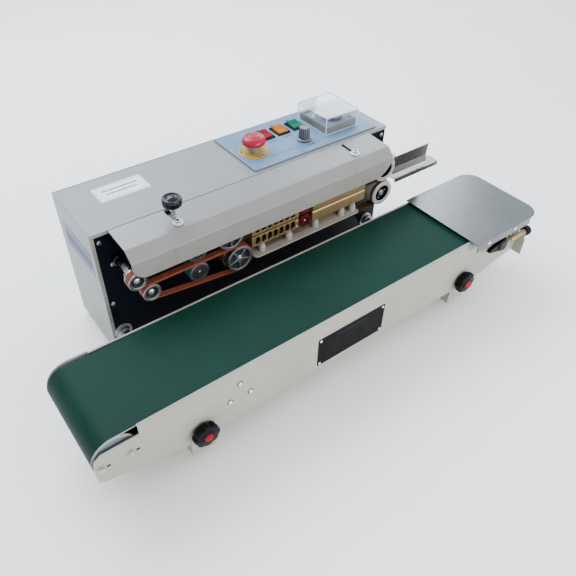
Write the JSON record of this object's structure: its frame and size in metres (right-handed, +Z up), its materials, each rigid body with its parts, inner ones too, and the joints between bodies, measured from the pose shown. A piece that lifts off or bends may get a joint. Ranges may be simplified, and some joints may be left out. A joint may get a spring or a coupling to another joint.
{
  "type": "continuous band sealer",
  "caption": "Benchtop continuous band sealer: sealing train under a hood on a cabinet, with controls on top and a height-adjustable belt conveyor in front.",
  "frame": {"origin": "middle of the footprint, on the table surface", "axes": "+X along the machine towards the infeed end, -Y to the operator, +Z up"},
  "size_m": [0.835, 0.395, 0.283],
  "materials": {
    "cabinet_paint": "satin powder coat",
    "panel_black": "gloss",
    "base_zinc": "dull zinc",
    "foot_rubber": "matte",
    "black_plastic": "matte",
    "gloss_black": "gloss",
    "rod_chrome": "polished",
    "motor_metal": "painted casting",
    "control_paint": "satin",
    "controller_plastic": "matte",
    "dial_white": "satin",
    "clear_plastic": "clear",
    "red_lens": "gloss",
    "orange_lens": "gloss",
    "green_lens": "gloss",
    "knob_grey": "matte",
    "turned_steel": "turned",
    "stop_red": "satin",
    "belt_orange": "matte",
    "band_brown": "smooth coated fabric",
    "brass": "machined",
    "stainless": "brushed",
    "roller_rubber": "matte",
    "silicone_red": "matte",
    "infeed_rim": "satin",
    "hood_paint": "satin powder coat",
    "rail_paint": "satin powder coat",
    "conveyor_green": "smooth",
    "bed_steel": "plain"
  },
  "bodies": {
    "cabinet": {"cabinet_shell": "cabinet_paint", "rear_cover": "cabinet_paint", "base_plate": "base_zinc", "feet_front": "foot_rubber", "feet_rear": "foot_rubber", "front_panel": "panel_black", "power_inlet": "black_plastic", "slide_rods": "rod_chrome", "gear_motor": "motor_metal", "cooling_fan": "black_plastic", "guide_belt_lower": "belt_orange", "guide_belt_upper": "belt_orange", "sealing_band_lower": "band_brown", "sealing_band_upper": "band_brown", "heating_block_lower": "brass", "heating_block_upper": "brass", "cooling_block_lower": "brass", "cooling_block_upper": "brass", "support_plate_lower": "rail_paint", "support_plate_upper": "rail_paint", "infeed_guide_upper": "stainless", "infeed_guide_lower": "stainless", "hood_hanger": "turned_steel", "control_panel": "control_paint", "switch_frame": "black_plastic", "controller_body": "controller_plastic", "estop_collar": "rod_chrome"},
    "conveyor_slide": {"conveyor_support": "rail_paint"},
    "conveyor_frame": {"front_rail": "rail_paint", "rear_rail": "rail_paint", "bed_plate": "bed_steel", "conveyor_belt": "conveyor_green", "conveyor_motor": "motor_metal", "end_table": "stainless"},
    "estop_stem": {"estop_stem": "turned_steel"},
    "estop_head": {"estop_head": "stop_red"},
    "rocker_red": {"rocker_red": "red_lens"},
    "rocker_orange": {"rocker_orange": "orange_lens"},
    "rocker_green": {"rocker_green": "green_lens"},
    "speed_knob": {"speed_knob": "knob_grey"},
    "controller_dial": {"controller_dial": "dial_white"},
    "clear_cover": {"clear_cover": "clear_plastic"},
    "hood": {"hood": "hood_paint"},
    "pressure_knob": {"pressure_knob": "gloss_black"},
    "drive_wheel_lower": {"drive_wheel_lower": "turned_steel"},
    "drive_wheel_upper": {"drive_wheel_upper": "turned_steel"},
    "infeed_wheel_lower": {"infeed_wheel_lower": "infeed_rim"},
    "infeed_wheel_upper": {"infeed_wheel_upper": "infeed_rim"},
    "guide_pulley_lower": {"guide_pulley_lower": "turned_steel"},
    "guide_pulley_upper": {"guide_pulley_upper": "turned_steel"},
    "print_roller_lower": {"print_roller_lower": "roller_rubber"},
    "print_wheel_upper": {"print_wheel_upper": "turned_steel"},
    "press_wheel_lower": {"press_wheel_lower": "silicone_red"},
    "press_wheel_upper": {"press_wheel_upper": "silicone_red"},
    "head_roller": {"head_roller": "turned_steel"},
    "tail_roller": {"tail_roller": "turned_steel"},
    "clamp_knob_left": {"clamp_knob_left": "black_plastic"},
    "clamp_knob_right": {"clamp_knob_right": "black_plastic"},
    "wing_knob": {"wing_knob": "black_plastic"},
    "tension_screw": {"tension_screw": "brass"}
  },
  "joints": [
    {"name": "estop_push", "type": "slide", "parent": "cabinet", "child": "estop_stem", "axis": [0, 0, -1], "range_m": [0, 0.004], "stiffness_N_per_m": 800, "springref_m": -0.002},
    {"name": "estop_twist", "type": "hinge", "parent": "estop_stem", "child": "estop_head", "pos_m": [0.0229, 0.1191, 0.27], "axis": [0, 0, 1], "range_deg": [0, 45], "stiffness_Nm_per_rad": 0.05},
    {"name": "rocker_red_tilt", "type": "hinge", "parent": "cabinet", "child": "rocker_red", "pos_m": [0.067, 0.1505, 0.2493], "axis": [1, 0, 0], "range_deg": [-16, 0]},
    {"name": "rocker_orange_tilt", "type": "hinge", "parent": "cabinet", "child": "rocker_orange", "pos_m": [0.0995, 0.1505, 0.2493], "axis": [1, 0, 0], "range_deg": [-16, 0]},
    {"name": "rocker_green_tilt", "type": "hinge", "parent": "cabinet", "child": "rocker_green", "pos_m": [0.132, 0.1505, 0.2493], "axis": [1, 0, 0], "range_deg": [-16, 0]},
    {"name": "speed_turn", "type": "hinge", "parent": "cabinet", "child": "speed_knob", "pos_m": [0.1145, 0.1015, 0.26], "axis": [0, 0, 1], "range_deg": [0, 300]},
    {"name": "dial_turn", "type": "hinge", "parent": "cabinet", "child": "controller_dial", "pos_m": [0.189, 0.1175, 0.262], "axis": [0, 0, 1], "range_deg": [0, 270]},
    {"name": "cover_lift", "type": "hinge", "parent": "cabinet", "child": "clear_cover", "pos_m": [0.189, 0.1695, 0.2487], "axis": [-1, 0, 0], "range_deg": [0, 90]},
    {"name": "hood_slide", "type": "slide", "parent": "cabinet", "child": "hood", "axis": [0, -0.9986, -0.0534], "range_m": [0, 0.026]},
    {"name": "pressure_turn", "type": "hinge", "parent": "cabinet", "child": "pressure_knob", "pos_m": [-0.1745, 0.0318, 0.268], "axis": [0, 0, 1], "range_deg": [-360, 360]},
    {"name": "drive_spin", "type": "hinge", "parent": "cabinet", "child": "drive_wheel_lower", "pos_m": [-0.089, 0.0295, 0.1538], "axis": [0, 1, 0], "continuous": true},
    {"name": "drive_upper_spin", "type": "hinge", "parent": "cabinet", "child": "drive_wheel_upper", "pos_m": [-0.1025, 0.0295, 0.2022], "axis": [0, 1, 0], "continuous": true},
    {"name": "infeed_lower_spin", "type": "hinge", "parent": "cabinet", "child": "infeed_wheel_lower", "pos_m": [0.2192, 0.0295, 0.1538], "axis": [0, 1, 0], "continuous": true},
    {"name": "infeed_upper_spin", "type": "hinge", "parent": "cabinet", "child": "infeed_wheel_upper", "pos_m": [0.2192, 0.0295, 0.2022], "axis": [0, 1, 0], "continuous": true},
    {"name": "pulley_lower_spin", "type": "hinge", "parent": "cabinet", "child": "guide_pulley_lower", "pos_m": [-0.2385, 0.0295, 0.1633], "axis": [0, 1, 0], "continuous": true},
    {"name": "pulley_upper_spin", "type": "hinge", "parent": "cabinet", "child": "guide_pulley_upper", "pos_m": [-0.2565, 0.0295, 0.1927], "axis": [0, 1, 0], "continuous": true},
    {"name": "print_lower_spin", "type": "hinge", "parent": "cabinet", "child": "print_roller_lower", "pos_m": [-0.1585, 0.0295, 0.1592], "axis": [0, 1, 0], "continuous": true},
    {"name": "print_upper_spin", "type": "hinge", "parent": "cabinet", "child": "print_wheel_upper", "pos_m": [-0.1585, 0.0295, 0.1968], "axis": [0, 1, 0], "continuous": true},
    {"name": "press_lower_spin", "type": "hinge", "parent": "cabinet", "child": "press_wheel_lower", "pos_m": [0.045, 0.0295, 0.1647], "axis": [0, 1, 0], "continuous": true},
    {"name": "press_upper_spin", "type": "hinge", "parent": "cabinet", "child": "press_wheel_upper", "pos_m": [0.045, 0.0295, 0.1913], "axis": [0, 1, 0], "continuous": true},
    {"name": "conveyor_reach", "type": "slide", "parent": "cabinet", "child": "conveyor_slide", "axis": [0, -1, 0], "range_m": [0, 0.03]},
    {"name": "conveyor_height", "type": "slide", "parent": "conveyor_slide", "child": "conveyor_frame", "axis": [0, 0, 1], "range_m": [0, 0.03]},
    {"name": "head_roller_spin", "type": "hinge", "parent": "conveyor_frame", "child": "head_roller", "pos_m": [-0.3855, -0.1005, 0.108], "axis": [0, 1, 0], "continuous": true},
    {"name": "tail_roller_spin", "type": "hinge", "parent": "conveyor_frame", "child": "tail_roller", "pos_m": [0.3715, -0.1005, 0.108], "axis": [0, 1, 0], "continuous": true},
    {"name": "clamp_left_turn", "type": "hinge", "parent": "conveyor_frame", "child": "clamp_knob_left", "pos_m": [-0.2715, -0.1855, 0.065], "axis": [0, 1, 0], "range_deg": [-360, 360]},
    {"name": "clamp_right_turn", "type": "hinge", "parent": "conveyor_frame", "child": "clamp_knob_right", "pos_m": [0.247, -0.1855, 0.065], "axis": [0, 1, 0], "range_deg": [-360, 360]},
    {"name": "wing_turn", "type": "hinge", "parent": "conveyor_frame", "child": "wing_knob", "pos_m": [0.3235, -0.1885, 0.114], "axis": [0, 1, 0], "range_deg": [-90, 0]},
    {"name": "tension_turn", "type": "hinge", "parent": "conveyor_frame", "child": "tension_screw", "pos_m": [0.3685, -0.1885, 0.109], "axis": [1, 0, 0], "range_deg": [-360, 360]}
  ],
  "couplings": [
    {"joint": "drive_upper_spin", "follows": "drive_spin", "ratio": -1},
    {"joint": "infeed_lower_spin", "follows": "drive_spin", "ratio": 1},
    {"joint": "infeed_upper_spin", "follows": "drive_spin", "ratio": -1},
    {"joint": "pulley_lower_spin", "follows": "drive_spin", "ratio": 1.6909},
    {"joint": "pulley_upper_spin", "follows": "drive_spin", "ratio": -1.6909},
    {"joint": "print_lower_spin", "follows": "drive_spin", "ratio": 1.3025},
    {"joint": "print_upper_spin", "follows": "drive_spin", "ratio": -1.3025},
    {"joint": "press_lower_spin", "follows": "drive_spin", "ratio": 1.8583},
    {"joint": "press_upper_spin", "follows": "drive_spin", "ratio": -1.8583},
    {"joint": "tail_roller_spin", "follows": "head_roller_spin", "ratio": 1}
  ]
}
